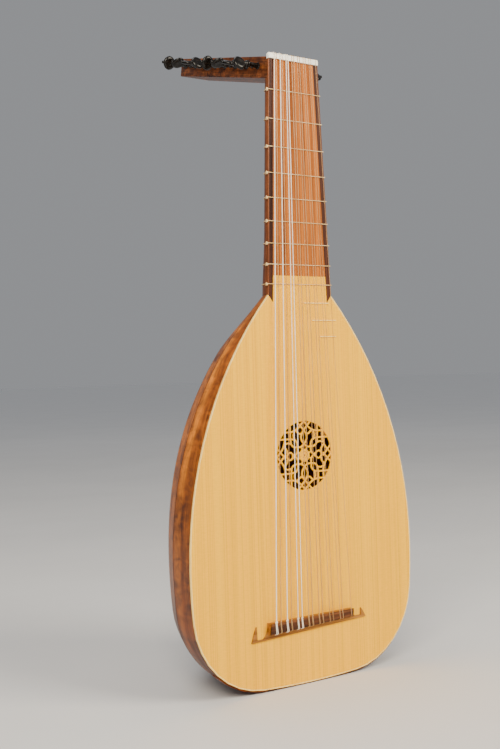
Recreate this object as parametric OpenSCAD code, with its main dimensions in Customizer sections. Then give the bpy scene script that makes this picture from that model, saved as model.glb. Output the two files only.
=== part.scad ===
// Eight-course Renaissance lute: a bowl of eleven ribs, a carved rose, tied gut frets and a
// pegbox bent back from the neck. Seven courses are pairs of strings and the first is single.
// +X points to the treble side, +Y from the soundboard to the back, +Z up along the neck.
// "Down" is the distance below the front edge of the nut. Modules model the lute with that edge
// at the origin, and in_row() moves the origin to the middle of the pegbox's flat back.

/* [Strings] */
// Sounding length from the nut to the bridge
string_len = 600; // [596:1:602]
// Place of the lowest course on the nut
nut_first_x = -25.5; // [-27:0.5:-24]
// Distance between courses on the nut
nut_pitch = 7.9; // [7:0.1:8]
// Distance between the two strings of a course on the nut
nut_pair = 2.8; // [2:0.1:3.5]
// Place of the lowest course on the bridge
bridge_first_x = -48.2; // [-50:0.1:-46]
// Distance between courses on the bridge
bridge_pitch = 14.36; // [13.8:0.02:14.6]
// Pair distance of the lowest course on the bridge
bridge_pair = 6.2; // [5:0.1:7]

/* [Body] */
// Half of the greatest width
body_half_w = 150; // [145:1:156]
// Distance down to the widest place
widest_down = 537; // [532:1:542]
// Distance down to the tail
tail_down = 672; // [668:1:678]
// Radius of the long shoulder curve
shoulder_r = 426; // [420:1:436]
// Radius of the flank below the widest place
flank_r = 534; // [500:1:560]
// Radius of the lower corner
corner_r = 90; // [82:1:96]
// Radius of the tail curve
tail_r = 1028; // [950:1:1100]
// Distance down to the joint of neck and body
joint_down = 255; // [252:0.5:257]
// Depth of the bowl over its half width at the neck
neck_ratio = 0.74; // [0.7:0.01:0.8]
// The same at the shoulder
shoulder_ratio = 1.11; // [1:0.01:1.15]
// The same at the widest place
belly_ratio = 0.98; // [0.9:0.01:1.05]
// Thickness of the ribs
rib_t = 1.8; // [1.4:0.1:2.2]
// Thickness of soundboard and fingerboard
board_t = 1.7; // [1.5:0.1:2]
// Width of the pale binding round the soundboard
binding_w = 1.3; // [1:0.1:2]

/* [Rose] */
// Distance down to the centre of the rose
rose_down = 428.5; // [424:0.5:432]
// Radius of the rose
rose_r = 37; // [34:0.5:40]
// Width of the carved strips
rose_strip = 2.3; // [1.8:0.1:2.6]

/* [Neck] */
// Half width of the neck at the nut
nut_half_w = 33.7; // [33:0.1:35]
// Depth of the neck at the nut
neck_nut_depth = 21; // [19:0.5:23]
// Width of the neck wood that shows beside the edge strips
lip_w = 1.4; // [1:0.1:1.8]
// Width of the dark edge strips
strip_w = 5.3; // [4:0.1:6]
// Distance down to the lower end of the fingerboard panel
finger_end_down = 234; // [228:1:240]
// Distance down to the tips of the dark edge strips
strip_tip_down = 263; // [261:0.5:265]

/* [Frets] */
// Diameter of the fret gut
fret_d = 0.9; // [0.7:0.05:1]
// Running clearance between a tied fret and the neck
fret_gap = 0.25; // [0.2:0.05:0.3]

/* [Pegbox] */
// Rise of the pegbox above the horizontal
pegbox_tilt = 14; // [10:1:16]
// Length along its flat back
pegbox_len = 204; // [200:1:208]
// Height at the nut
root_h = 23.2; // [22:0.1:24]
// Height at the far end
tip_h = 21; // [20:0.5:22]
// Half width at the nut
root_half_w = 33.7; // [33:0.1:34]
// Half width at the far end
tip_half_w = 21; // [20:0.5:23]
// Thickness of the cheeks
cheek_t = 6.5; // [5:0.5:7]
// Thickness of the back
floor_t = 4; // [3:0.5:5]

/* [Pegs] */
// Distance along the pegbox from one peg to the next, which sits in the other cheek
peg_pitch = 11.85; // [11.5:0.05:12]
// Radius of the tapered shank at the cheek beside the head
peg_r = 3.7; // [3.4:0.1:4]
// Radius of the flat head
head_r = 8.2; // [7.5:0.1:8.5]

/* [Hidden] */
rib_count = 11;
peg_count = 15;
course_count = 8;
tied_frets = 9;
rib_angle = 180 / rib_count;
fillet_angle = 0.45;
rib_seam = 0.05;           // angle left free on each side of a fillet
join_gap = 0.12;           // glue line between the ribs and the neck block
band_gap = 0.3;            // the same at the end clasp and the lining, which cross the rib joints

function two(n) = n < 10 ? str("0", n) : str(n);
function rib_name(k) = str("rib_", two(k));
function peg_name(k) = str("peg_", two(k));
function course_name(c) = str("course_", c);
function fret_name(n) = str("fret_", n);

// ---- small helpers ----
function mix(a, b, t) = a + (b - a) * t;
function smooth(t) = let (u = min(1, max(0, t))) u * u * (3 - 2 * u);
function flip(list) = [for (i = [len(list) - 1:-1:0]) list[i]];
function mirror_x(list) = [for (p = list) [-p.x, p.y]];
function arc_points(c, r, a0, a1, n) =
    [for (i = [0:n]) let (a = mix(a0, a1, i / n)) c + r * [cos(a), sin(a)]];

// Meeting point, on the right, of two circles given by centre and radius
function meet(c1, r1, c2, r2) =
    let (d = norm(c2 - c1), a = (r1 * r1 - r2 * r2 + d * d) / (2 * d), h = sqrt(r1 * r1 - a * a))
    let (u = (c2 - c1) / d, m = c1 + a * u, v = [-u.y, u.x])
    (m + h * v).x > (m - h * v).x ? m + h * v : m - h * v;

// A solid through rings of points that all have the same count
module loft(rings) {
    m = len(rings[0]);
    n = len(rings);
    points = [for (ring = rings) each ring];
    sides = [
        for (i = [0:n - 2], j = [0:m - 1])
            let (a = i * m + j, b = i * m + (j + 1) % m)
            each [[a, b + m, b], [a, a + m, b + m]]
    ];
    first = [for (j = [0:m - 1]) j];
    last = [for (j = [m - 1:-1:0]) (n - 1) * m + j];
    polyhedron(points, concat([first], sides, [last]));
}

// A plate between two grids of points that have the same rows and columns
module plate(front, back) {
    rings = [for (i = [0:len(front) - 1]) concat(front[i], flip(back[i]))];
    loft(rings);
}

// Points given as [x, down] become a plate between two depths behind the soundboard plane
module slab(points, y0, y1)
    translate([0, y1, 0]) rotate([90, 0, 0]) linear_extrude(y1 - y0)
        polygon([for (p = points) [p.x, -p.y]]);

// ---- outline of the body: four arcs on each side, in [x, down] ----
shoulder_c = [body_half_w - shoulder_r, widest_down];
flank_c = [body_half_w - flank_r, widest_down];
tail_c = [0, tail_down - tail_r];
corner_c = meet(flank_c, flank_r - corner_r, tail_c, tail_r - corner_r);
shoulder_a = -asin((widest_down - joint_down) / shoulder_r);
flank_dir = (corner_c - flank_c) / norm(corner_c - flank_c);
tail_dir = (corner_c - tail_c) / norm(corner_c - tail_c);
flank_a = atan2(flank_dir.y, flank_dir.x);
tail_a = atan2(tail_dir.y, tail_dir.x);
rib_end_x = 5;             // the ribs stop this far from the centre of the tail
tail_end_a = acos(rib_end_x / tail_r);

// Right half of the outline moved inwards by e, from the neck to the tail, with its end angle
function half_outline(e, end_a) = concat(
    arc_points(shoulder_c, shoulder_r - e, shoulder_a, 0, 14),
    [for (i = [1:4]) flank_c + (flank_r - e) * [cos(flank_a * i / 4), sin(flank_a * i / 4)]],
    [for (i = [1:8]) let (a = mix(flank_a, tail_a, i / 8)) corner_c + (corner_r - e) * [cos(a), sin(a)]],
    [for (i = [1:5]) let (a = mix(tail_a, end_a, i / 5)) tail_c + (tail_r - e) * [cos(a), sin(a)]]
);

// Half width of the body at a distance down, for the part above the lower corner
function half_w(down, e) =
    let (c = down < widest_down ? shoulder_c : flank_c, r = down < widest_down ? shoulder_r : flank_r)
    c.x + sqrt(pow(r - e, 2) - pow(widest_down - down, 2));

// Distance down of the tail at a half width a, for the lower part of the body
function tail_at(a, e) =
    a < (tail_r - e) * tail_dir.x ? tail_c.y + sqrt(pow(tail_r - e, 2) - a * a)
    : a < corner_c.x + (corner_r - e) * flank_dir.x
        ? corner_c.y + sqrt(pow(corner_r - e, 2) - pow(a - corner_c.x, 2))
    : flank_c.y + sqrt(pow(flank_r - e, 2) - pow(a - flank_c.x, 2));

// ---- bowl ----
shoulder_down = 316;
belly_down = 556;
function depth_ratio(down) =
    down < shoulder_down
        ? mix(neck_ratio, shoulder_ratio, smooth((down - joint_down) / (shoulder_down - joint_down)))
        : mix(shoulder_ratio, belly_ratio, smooth((down - shoulder_down) / (belly_down - shoulder_down)));

// A point of the bowl: p is [half width, down], a runs from 0 at the bass edge to 180
function bowl_point(p, a) =
    [-p.x * cos(a), board_t + depth_ratio(p.y) * p.x * sin(a), -p.y];

// A strip of the bowl's wall between two angles
module bowl_strip(a0, a1) {
    outer = half_outline(0, tail_end_a);
    inner = half_outline(rib_t, tail_end_a);
    loft([
        for (i = [0:len(outer) - 1]) [
            bowl_point(outer[i], a0), bowl_point(outer[i], a1),
            bowl_point(inner[i], a1), bowl_point(inner[i], a0)
        ]
    ]);
}

module rib(k) {
    seam = fillet_angle / 2 + rib_seam;
    first = k == 1 ? 0 : seam;
    last = k == rib_count ? 0 : seam;
    color("peru") in_row() bowl_strip((k - 1) * rib_angle + first, k * rib_angle - last);
}

module rib_fillets()
    color("saddlebrown") in_row() for (k = [1:rib_count - 1])
        bowl_strip(k * rib_angle - fillet_angle / 2, k * rib_angle + fillet_angle / 2);

// The half width that the flat-faced ribs have where x and y meet them, near the tail
function facet_a(x, y) =
    let (v = (y - board_t) / belly_ratio, a = atan2(v, -x))
    let (mid = (min(rib_count - 1, floor(a / rib_angle)) + 0.5) * rib_angle)
    norm([x, v]) * cos(a - mid) / cos(rib_angle / 2);

// A curved band round the tail, between two offsets from the outside of the ribs
module tail_band(half_x, mid_h, end_h, e0, e1) {
    nx = 44;
    ny = 4;
    function at(i, j, e) =
        let (x = mix(-half_x, half_x, i / nx), h = mix(mid_h, end_h, smooth(abs(x) / half_x)))
        let (y = board_t + h * j / ny)
        [x, y, -tail_at(facet_a(x, y), e)];
    plate(
        [for (i = [0:nx]) [for (j = [0:ny]) at(i, j, e1)]],
        [for (i = [0:nx]) [for (j = [0:ny]) at(i, j, e0)]]
    );
}

module end_clasp()
    color("sienna") in_row() tail_band(118, 26, 12, -band_gap, -band_gap - 1.3);

// The block that the neck is joined to, and the lining at the tail, both inside the bowl
block_down = 290;
module body_blocks()
    color("wheat") in_row() {
        wall = [for (p = half_outline(rib_t + join_gap, tail_end_a)) if (p.y < block_down) p];
        stations = concat([[wall[0].x, joint_down]], wall);
        loft([
            for (p = stations)
                [for (k = [0:rib_count]) bowl_point(p, k * rib_angle)]
        ]);
        tail_band(104, 18, 12, rib_t + band_gap + 2.2, rib_t + band_gap);
    }

// ---- soundboard ----
joint_half_w = half_w(joint_down, 0);
function neck_w(down) = mix(nut_half_w, joint_half_w, down / joint_down);
function strip_out(down) = neck_w(down) - lip_w;
function strip_in(down) = strip_out(down) - strip_w;
strip_end_down = joint_down + 1.3;

// The pattern of the rose: chords in eight directions, a ring and a pierced boss
rose_chords = [0.39, 0.63];
module rose_lattice() {
    for (turn = [0:45:315], d = rose_chords)
        rotate(turn) translate([d * rose_r, 0]) square([rose_strip, 2 * rose_r], center = true);
    difference() {
        circle(r = rose_r * 0.24);
        circle(r = 1.1);
        for (turn = [0:45:315]) rotate(turn) translate([rose_r * 0.15, 0]) circle(r = 0.9);
    }
    for (turn = [0:45:315])
        rotate(turn + 22.5) translate([rose_r * 0.2, -rose_strip / 2])
            square([rose_r * 0.24, rose_strip]);
    for (turn = [0:90:270]) rotate(turn) translate([rose_r * 0.51, 0]) difference() {
        circle(r = 5.4);
        circle(r = 3.2);
    }
}

module soundboard() {
    rim = half_outline(binding_w, 90);
    right = concat(
        [[strip_in(finger_end_down), finger_end_down], [strip_in(strip_tip_down), strip_tip_down]],
        [[strip_out(strip_end_down), strip_end_down]], rim
    );
    left = mirror_x(flip([for (i = [0:len(right) - 2]) right[i]]));
    color("khaki") in_row() difference() {
        slab(concat(right, left), 0, board_t);
        translate([0, board_t + 1, -rose_down]) rotate([90, 0, 0]) linear_extrude(board_t + 2)
            difference() {
                circle(r = rose_r);
                rose_lattice();
            }
    }
}

module edge_binding() {
    outer = half_outline(0, 90);
    inner = half_outline(binding_w, 90);
    left_outer = mirror_x(flip([for (i = [0:len(outer) - 2]) outer[i]]));
    left_inner = mirror_x([for (i = [0:len(inner) - 2]) inner[i]]);
    color("cornsilk") in_row() slab(concat(outer, left_outer, left_inner, flip(inner)), 0, board_t);
}

// Bars glued across the back of the soundboard, with ends scooped low
bar_downs = [302, 340, 381, 477, 521, 565];
bar_t = 4.5;
bar_h = 14;
bar_end_h = 6;
module soundboard_bars()
    color("burlywood") in_row() for (down = bar_downs) {
        reach = half_w(down - bar_t, rib_t) - 1.5;
        scoop = min(30, reach / 2);
        translate([0, 0, -down - bar_t / 2]) linear_extrude(bar_t) polygon([
            [-reach, board_t], [reach, board_t], [reach, board_t + bar_end_h],
            [reach - scoop, board_t + bar_h], [scoop - reach, board_t + bar_h],
            [-reach, board_t + bar_end_h]
        ]);
    }

// ---- neck ----
heel_down = 185;
function neck_depth(down) =
    mix(neck_nut_depth, neck_nut_depth + 6, down / joint_down)
    + (board_t + neck_ratio * joint_half_w - neck_nut_depth - 6)
    * smooth((down - heel_down) / (joint_down - heel_down));

// Half ellipse of the neck's back, grown by g, from the bass edge round to the treble edge
neck_sides = 28;
neck_side_y = 2.4;
function neck_back(down, g) = [
    for (i = [0:neck_sides]) let (a = 180 * i / neck_sides)
    [-(neck_w(down) + g) * cos(a), neck_side_y + (neck_depth(down) - neck_side_y + g) * sin(a)]
];

// Height of the pegbox's flat back at a distance y behind the soundboard plane
back_z = -22.2;
function pegbox_back_z(y) = back_z + tan(pegbox_tilt) * y;

// A lip of the neck beside the dark edge strips, from one distance down to another
module neck_lip(side, d0, d1, y0, y1) {
    inset = 0.03;
    slab([
        [side * strip_out(d0), d0], [side * (neck_w(d0) - inset), d0],
        [side * (neck_w(d1) - inset), d1], [side * strip_out(d1), d1]
    ], y0, y1);
}

module neck() {
    function section(down) =
        let (w = neck_w(down)) concat([[-w, board_t]], neck_back(down, 0), [[w, board_t]]);
    top_down = -pegbox_back_z(10);
    lip_top = -pegbox_back_z(0);
    color("sienna") in_row() {
        loft(concat(
            [[for (p = section(top_down)) [p.x, p.y, pegbox_back_z(p.y)]]],
            [for (down = [60, 120, 185, 195, 205, 215, 225, 235, 245, joint_down])
                [for (p = section(down)) [p.x, p.y, -down]]]
        ));
        for (side = [-1, 1]) {
            neck_lip(side, 0, lip_top + 2, 0, board_t - 0.05);
            neck_lip(side, lip_top + 0.5, joint_down, 0, board_t + 0.4);
        }
    }
}

module fingerboard()
    color("chocolate") in_row() slab([
        [-strip_in(0), 0], [strip_in(0), 0],
        [strip_in(finger_end_down), finger_end_down], [-strip_in(finger_end_down), finger_end_down]
    ], 0, board_t);

module fingerboard_edges()
    color("#3a2018") in_row() for (side = [-1, 1])
        slab([
            [side * strip_in(0), 0], [side * strip_out(0), 0],
            [side * strip_out(strip_end_down), strip_end_down],
            [side * strip_in(strip_tip_down), strip_tip_down]
        ], 0, board_t);

// ---- nut: the front edge is at the origin, and the strings bend back over its top ----
nut_front = 1.6;
nut_back = 3.4;
nut_top = 6.4;
module nut()
    color("ivory") in_row() rotate([90, 0, 90]) linear_extrude(2 * nut_half_w, center = true)
        polygon([
            [-nut_front, 0], [nut_back, 0], [nut_back, nut_top - 1], [1, nut_top],
            [-0.4, nut_top - 0.2], [-1.2, nut_top - 0.8], [-nut_front, nut_top - 1.8]
        ]);

// ---- frets ----
function fret_down(n) = string_len * (1 - pow(2, -n / 12));
function fret_loop(down, g) =
    let (w = neck_w(down) + g) concat([[-w, -g]], neck_back(down, g), [[w, -g]]);

// A closed loop of gut with six sides
module fret_ring(down) {
    r = fret_d / 2;
    rings = [
        for (a = [30:60:330])
            [for (p = fret_loop(down, fret_gap + r + r * cos(a))) [p.x, p.y, r * sin(a) - down]]
    ];
    m = len(rings[0]);
    polyhedron([for (ring = rings) each ring], [
        for (k = [0:5], j = [0:m - 1])
            let (i = (j + 1) % m, a = k * m + j, b = k * m + i, n = (k + 1) % 6 * m)
            each [[a, b, n + i], [a, n + i, n + j]]
    ]);
}

module tied_fret(n) {
    down = fret_down(n);
    knot_r = 1.4;
    color("tan") in_row() {
        fret_ring(down);
        translate([-neck_w(down) - fret_gap - knot_r - 0.1, 0.4, -down]) rotate([0, 90, 0])
            cylinder(h = 2.6, r = knot_r, $fn = 12, center = true);
    }
}

// Glued frets on the soundboard: from and to along X, for frets 10, 11 and 12
body_fret_x = [[4, 38.5], [15, 48.5], [25.5, 48]];
module body_frets()
    color("wheat") in_row() for (i = [0:len(body_fret_x) - 1]) {
        span = body_fret_x[i];
        down = fret_down(tied_frets + 1 + i);
        translate([span[0], -0.9, -down - 0.55]) cube([span[1] - span[0], 0.9, 1.1]);
    }

// ---- bridge: it gets lower and narrower from the bass end to the treble end ----
bridge_front = string_len + 0.6;
bridge_half = 57;
bridge_foot_half = 78;
foot_t = 1.6;
cap_t = 1.6;
cap_lean = 10;
function bridge_t(x) = (x + bridge_half) / (2 * bridge_half);
function bridge_h(x) = mix(8.6, 7, bridge_t(x));
function cap_depth(x) = mix(12, 8.5, bridge_t(x));
function cap_drop(x) = cap_depth(x) * tan(cap_lean);
function foot_depth(x) = mix(17.6, 13, bridge_t(x));

// The part of the bridge between two depths under its top, which leans down to the tail
module bridge_layer(under0, under1) {
    wide = bridge_half + 5;
    intersection() {
        slab([
            [-bridge_half, bridge_front], [bridge_half, bridge_front],
            [bridge_half, bridge_front + cap_depth(bridge_half)],
            [-bridge_half, bridge_front + cap_depth(-bridge_half)]
        ], -12, -foot_t / 2);
        translate([0, 0, -bridge_front]) rotate([cap_lean, 0, 0])
            linear_extrude(60, center = true) polygon([
                [-wide, under0 - bridge_h(-wide)], [wide, under0 - bridge_h(wide)],
                [wide, under1 - bridge_h(wide)], [-wide, under1 - bridge_h(-wide)]
            ]);
    }
}

module bridge() {
    // One end of the foot: the flare beside the body, a valley and an upright whisker
    function foot_end(side) =
        let (x0 = side * (bridge_half + 0.3), xe = side * bridge_foot_half, valley = 2.4)
        let (base = bridge_front + foot_depth(xe), rise = foot_depth(xe) - valley - 1.5) concat(
            [[x0, bridge_front + 0.3]],
            [for (a = [90:-15:0]) [x0 + side * 7.5 * (1 - sin(a)), base - valley - rise * (1 - cos(a))]],
            [[xe - side * 7.2, base - valley], [xe - side * 6.6, bridge_front + 1.8], [xe, base]]
        );
    color("peru") in_row() {
        bridge_layer(cap_t, 20);
        slab(concat(foot_end(1), flip(foot_end(-1))), -foot_t, 0);
    }
}

module bridge_cap()
    color("#4a2a1c") in_row() bridge_layer(0, cap_t);

// ---- pegbox, in [y, z] and as half widths over y ----
function pegbox_point(along, up) =
    [along * cos(pegbox_tilt) - up * sin(pegbox_tilt),
     back_z + along * sin(pegbox_tilt) + up * cos(pegbox_tilt)];
pegbox_tip = pegbox_point(pegbox_len, 0);
function pegbox_half(y) = mix(root_half_w, tip_half_w, y / pegbox_tip.x);
root_top = pegbox_point(0, root_h);
tip_top = pegbox_point(pegbox_len, tip_h);
function pegbox_top_z(y) = mix(root_top.y, tip_top.y, (y - root_top.x) / (tip_top.x - root_top.x));

// Side view of the whole pegbox, with the seat for the nut
module pegbox_side()
    polygon([
        [board_t, pegbox_back_z(board_t)], [board_t, 0], [nut_back, 0],
        [nut_back, pegbox_top_z(nut_back)], tip_top, pegbox_tip
    ]);

module along_x() rotate([90, 0, 90]) linear_extrude(100, center = true) children();

// A wedge over one side's cheek, between two distances in from its outside
module plan_wedge(side, e0, e1)
    translate([0, 0, -60]) linear_extrude(160) polygon([
        [side * (pegbox_half(0) - e0), 0], [side * (pegbox_half(220) - e0), 220],
        [side * (pegbox_half(220) - e1), 220], [side * (pegbox_half(0) - e1), 0]
    ]);

module plan_middle()
    translate([0, 0, -60]) linear_extrude(160) polygon([
        [cheek_t - pegbox_half(0), 0], [pegbox_half(0) - cheek_t, 0],
        [pegbox_half(220) - cheek_t, 220], [cheek_t - pegbox_half(220), 220]
    ]);

module cheek(side) {
    difference() {
        intersection() {
            along_x() pegbox_side();
            plan_wedge(side, 0, cheek_t);
        }
        for (k = [1:peg_count]) at_peg(k) shank(peg_clear, 4);
    }
}

module pegbox_cheek_bass() color("#8a5a36") in_row() cheek(-1);
module pegbox_cheek_treble() color("#8a5a36") in_row() cheek(1);

// The back and the two blocks share the space between the cheeks. The root block reaches over
// the end of the neck, so that the flat back starts behind the neck.
root_block_y = 8;
back_start_y = 24;
tip_block_t = 7;
function floor_z(y) = pegbox_back_z(y) + floor_t / cos(pegbox_tilt);
floor_tip = pegbox_point(pegbox_len, floor_t);

module pegbox_back()
    color("#7a4c2c") in_row() intersection() {
        along_x() polygon([
            [back_start_y, pegbox_back_z(back_start_y)], [back_start_y, floor_z(back_start_y)],
            floor_tip, pegbox_tip
        ]);
        plan_middle();
    }

module pegbox_blocks() {
    block_along = pegbox_len - tip_block_t;
    color("#8a5a36") in_row() {
        intersection() {
            along_x() polygon([
                [board_t, pegbox_back_z(board_t)], [board_t, 0], [nut_back, 0],
                [nut_back, pegbox_top_z(nut_back)], [root_block_y, pegbox_top_z(root_block_y)],
                [root_block_y, floor_z(root_block_y)], [back_start_y, floor_z(back_start_y)],
                [back_start_y, pegbox_back_z(back_start_y)]
            ]);
            plan_middle();
        }
        intersection() {
            along_x() polygon([
                pegbox_point(block_along, floor_t),
                pegbox_point(block_along, mix(root_h, tip_h, block_along / pegbox_len)),
                tip_top, floor_tip
            ]);
            plan_middle();
        }
    }
}

// ---- pegs: odd ones have their heads on the bass side, even ones on the treble side ----
peg_first = 24.8;
peg_up = 12.9;
peg_clear = 0.05;
peg_taper = 1 / 60;
neck_len = 14;
collar_len = 3;
function peg_side(k) = k % 2 == 1 ? -1 : 1;
function peg_yz(k) =
    pegbox_point(peg_first + (k - 1) * peg_pitch, peg_up);
function peg_radius(depth) = peg_r - depth * peg_taper;
function peg_reach(k) = 2 * pegbox_half(peg_yz(k).x) + 1.5;

// Puts the outer face of the cheek beside the head at the origin, with +Z along the shank
module at_peg(k) {
    p = peg_yz(k);
    translate([peg_side(k) * pegbox_half(p.x), p.x, p.y]) rotate([0, -peg_side(k) * 90, 0])
        children();
}

// The tapered shank, grown by g, starting before the cheek
module shank(g, before) {
    reach = 72;
    translate([0, 0, -before])
        cylinder(h = reach + before, r1 = peg_radius(-before) + g, r2 = peg_radius(reach) + g, $fn = 48);
}

// Where along its shank the peg carries its string, and the radius of the wound turns
function wind_depth(k) =
    let (p = peg_yz(k)) pegbox_half(p.x) - peg_side(k) * string_peg_x(peg_string(k));
wind_t = 0.8;
wind_len = 5.5;
function wind_radius(k) = peg_radius(wind_depth(k)) + wind_t;

module peg(k) {
    reach = peg_reach(k);
    neck_r = 3.1;
    color("#161212") in_row() at_peg(k) {
        translate([0, 0, -0.5])
            cylinder(h = reach + 0.5, r1 = peg_radius(-0.5), r2 = peg_radius(reach), $fn = 48);
        translate([0, 0, -neck_len]) cylinder(h = neck_len, r1 = neck_r - 0.3, r2 = neck_r + 0.4, $fn = 32);
        translate([0, 0, -neck_len - collar_len]) cylinder(h = collar_len, r = 4.2, $fn = 32);
        rotate([0, 0, k * 67]) translate([0, 0, -neck_len - collar_len - head_r + 1]) rotate([0, 90, 0])
            rotate_extrude($fn = 48) polygon([
                [0, -3.4], [head_r * 0.55, -3], [head_r - 0.7, -1.9], [head_r, -1],
                [head_r, 1], [head_r - 0.7, 1.9], [head_r * 0.55, 3], [0, 3.4]
            ]);
        translate([0, 0, -neck_len - collar_len - 2 * head_r + 1]) sphere(r = 1.8, $fn = 24);
        translate([0, 0, wind_depth(k) - wind_len / 2])
            cylinder(h = wind_len, r = wind_radius(k), $fn = 48);
    }
}

// ---- strings: 1 and 2 are the lowest course, 15 is the single first course ----
string_r = [0.62, 0.36, 0.58, 0.34, 0.5, 0.5, 0.42, 0.42, 0.36, 0.36, 0.3, 0.3, 0.24, 0.24, 0.21];
function string_course(j) = j == peg_count ? course_count - 1 : floor((j - 1) / 2);
function string_offset(j, pair) = j == peg_count ? 0 : (j % 2 == 1 ? -pair / 2 : pair / 2);
function nut_x(j) = nut_first_x + string_course(j) * nut_pitch + string_offset(j, nut_pair);
function bridge_x(j) =
    bridge_first_x + string_course(j) * bridge_pitch
    + string_offset(j, bridge_pair - string_course(j) * 0.33);

// The outer strings go to the pegs beside the nut: the bass ones to odd pegs
function string_peg(j) = j <= 8 ? 2 * j - 1 : 2 * (peg_count + 1 - j);
function peg_string(k) = k % 2 == 1 ? (k + 1) / 2 : peg_count + 1 - k / 2;
function string_peg_x(j) =
    let (y = peg_yz(string_peg(j)).x)
    0.74 * nut_x(j) * (pegbox_half(y) - cheek_t) / (root_half_w - cheek_t);

function string_route(j) =
    let (r = string_r[j - 1], xb = bridge_x(j), xn = nut_x(j), k = string_peg(j), p = peg_yz(k))
    let (h = bridge_h(xb), tail = -bridge_front - cap_depth(xb)) [
        [xb, -3 - r, tail - r - 0.25],
        [xb, cap_drop(xb) - h - r * 0.4, tail - r - 0.25],
        [xb, cap_drop(xb) - h - r - 0.15, tail - 0.1],
        [xb, -h - r - 0.15, -bridge_front + 0.1],
        [xb, -h + 0.4, -bridge_front + r + 0.25],
        [xb, -h + 1.4, -bridge_front + r + 0.6],
        [xn, -nut_front - r - 0.04, 0],
        [xn, -nut_front - r - 0.04, nut_top - 1.9],
        [xn, -1.1 - r, nut_top - 0.4 + r],
        [xn, 0.4, nut_top + r + 0.12],
        [string_peg_x(j), p.x - 1, p.y + wind_radius(k) + r + 0.15],
        [string_peg_x(j), p.x + 0.6, p.y + wind_radius(k) + r + 0.15]
    ];

// A round cord of eight sides along a route
module cord(route, r) {
    n = len(route);
    function way(i) =
        let (a = route[max(0, i - 1)], b = route[min(n - 1, i + 1)]) (b - a) / norm(b - a);
    function across(t) = let (v = [1, 0, 0] - t.x * t) v / norm(v);
    loft([
        for (i = [0:n - 1])
            let (t = way(i), u = across(t), v = cross(t, u))
            [for (a = [0:45:315]) route[i] + r * (cos(a) * u + sin(a) * v)]
    ]);
}

// Course 1 is the single string at the treble side, course 8 the lowest pair
module course(c) {
    strings = c == 1 ? [peg_count] : [2 * (course_count - c) + 1, 2 * (course_count - c) + 2];
    color(c >= 6 ? "white" : "linen") in_row() for (j = strings) cord(string_route(j), string_r[j - 1]);
}

// The origin of the row is the middle of the pegbox's flat back
rest_along = 114;
module in_row() {
    rest = pegbox_point(rest_along, 0);
    translate([0, -rest.x, -rest.y]) children();
}

soundboard();
edge_binding();
for (k = [1:rib_count]) rib(k);
rib_fillets();
end_clasp();
body_blocks();
soundboard_bars();
neck();
fingerboard();
fingerboard_edges();
nut();
pegbox_cheek_bass();
pegbox_cheek_treble();
pegbox_back();
pegbox_blocks();
for (k = [1:peg_count]) peg(k);
for (c = [1:course_count]) course(c);
for (n = [1:tied_frets]) tied_fret(n);
body_frets();
bridge();
bridge_cap();
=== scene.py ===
"""Looks of the eight-course lute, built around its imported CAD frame.

Shapes are written in millimetres from the front edge of the nut: x to the treble side, y from the
soundboard to the back, z up along the neck. place() turns them into the row frame, in metres.
"""

import math

import bmesh
import bpy
from mathutils import Matrix, Vector


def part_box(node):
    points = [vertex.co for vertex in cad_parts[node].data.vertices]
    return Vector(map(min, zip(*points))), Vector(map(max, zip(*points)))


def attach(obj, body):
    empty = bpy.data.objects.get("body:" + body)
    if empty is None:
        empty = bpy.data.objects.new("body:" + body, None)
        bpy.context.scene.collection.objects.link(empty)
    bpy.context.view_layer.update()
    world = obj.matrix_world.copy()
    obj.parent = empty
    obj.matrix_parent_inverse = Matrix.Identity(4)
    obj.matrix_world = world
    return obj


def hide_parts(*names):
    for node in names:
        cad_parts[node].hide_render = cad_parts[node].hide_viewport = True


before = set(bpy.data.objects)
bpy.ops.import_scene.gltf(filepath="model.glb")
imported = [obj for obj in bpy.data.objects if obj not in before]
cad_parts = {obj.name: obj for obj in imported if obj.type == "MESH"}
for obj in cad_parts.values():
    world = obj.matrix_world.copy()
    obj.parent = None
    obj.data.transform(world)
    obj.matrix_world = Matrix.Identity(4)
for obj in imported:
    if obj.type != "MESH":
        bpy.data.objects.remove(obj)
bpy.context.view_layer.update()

MM = 0.001
LUTE = "lute"


def rad(deg):
    return math.radians(deg)


def mix(a, b, t):
    return a + (b - a) * t


def smooth(t):
    u = min(1.0, max(0.0, t))
    return u * u * (3 - 2 * u)


# ---------------------------------------------------------------- sizes, as in part.scad
STRING_LEN = 600.0
TILT = rad(14)
BACK_Z = -22.2
REST_ALONG = 114.0
PEGBOX_LEN = 204.0
ROOT_H, TIP_H, TIP_HALF = 23.2, 21.0, 21.0
CHEEK_T, FLOOR_T = 6.5, 4.0
BOARD_T = 1.7
JOINT = 255.0
RIBS = 11
RIB_ANGLE = 180.0 / RIBS
FILLET = 0.45
RIB_T = 1.8
BINDING_W = 1.3
ROSE_DOWN, ROSE_R, ROSE_LIP = 428.5, 37.0, 1.012
LIP_W, STRIP_W = 1.4, 5.3
STRIP_END, STRIP_TIP, BOARD_END = 256.3, 263.0, 234.0
NUT_HALF = 33.7
NUT_FRONT, NUT_BACK, NUT_TOP = 1.6, 3.4, 6.4
FRET_D, FRET_GAP = 0.9, 0.25
PEG_PITCH, PEG_FIRST, PEG_UP = 11.85, 24.8, 12.9
PEG_R, PEG_TAPER = 3.7, 1 / 60
PEGS = 15


def pegbox_point(along, up):
    """[y, z] of a point of the pegbox, from its lower front edge."""
    return (along * math.cos(TILT) - up * math.sin(TILT),
            BACK_Z + along * math.sin(TILT) + up * math.cos(TILT))


REST = pegbox_point(REST_ALONG, 0)


def place(p):
    return Vector((p[0] * MM, (p[1] - REST[0]) * MM, (p[2] - REST[1]) * MM))


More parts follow.
